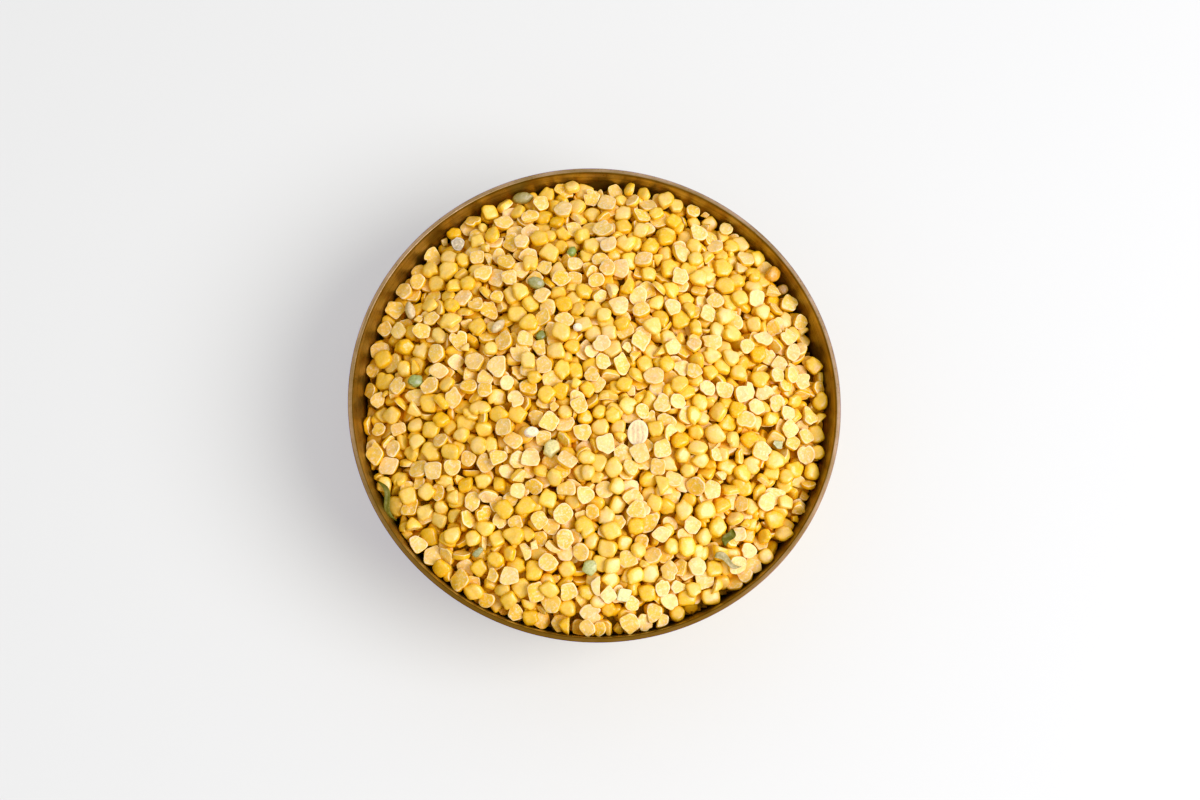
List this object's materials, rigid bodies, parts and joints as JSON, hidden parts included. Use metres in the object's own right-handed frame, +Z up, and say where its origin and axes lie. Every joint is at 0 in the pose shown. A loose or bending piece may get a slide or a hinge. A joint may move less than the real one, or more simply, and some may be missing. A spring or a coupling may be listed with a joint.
{
  "type": "dish of split pea dal",
  "caption": "Round flared brass dish with a flat lip, heaped with dry yellow split peas in a low uneven mound.",
  "frame": {"origin": "centre of the dish's flat base, on the surface that it stands on", "axes": "+Z up along the dish's axis, out of its mouth; the heap's edge lies lowest towards -X"},
  "size_m": [0.15, 0.15, 0.0516],
  "materials": {
    "brass": "satin turned brass, unlacquered and slightly dulled",
    "dal": "matte dry split peas, golden yellow with paler cut faces"
  },
  "bodies": {
    "root": {"dish": "brass", "dal_heap": "dal"}
  },
  "joints": []
}
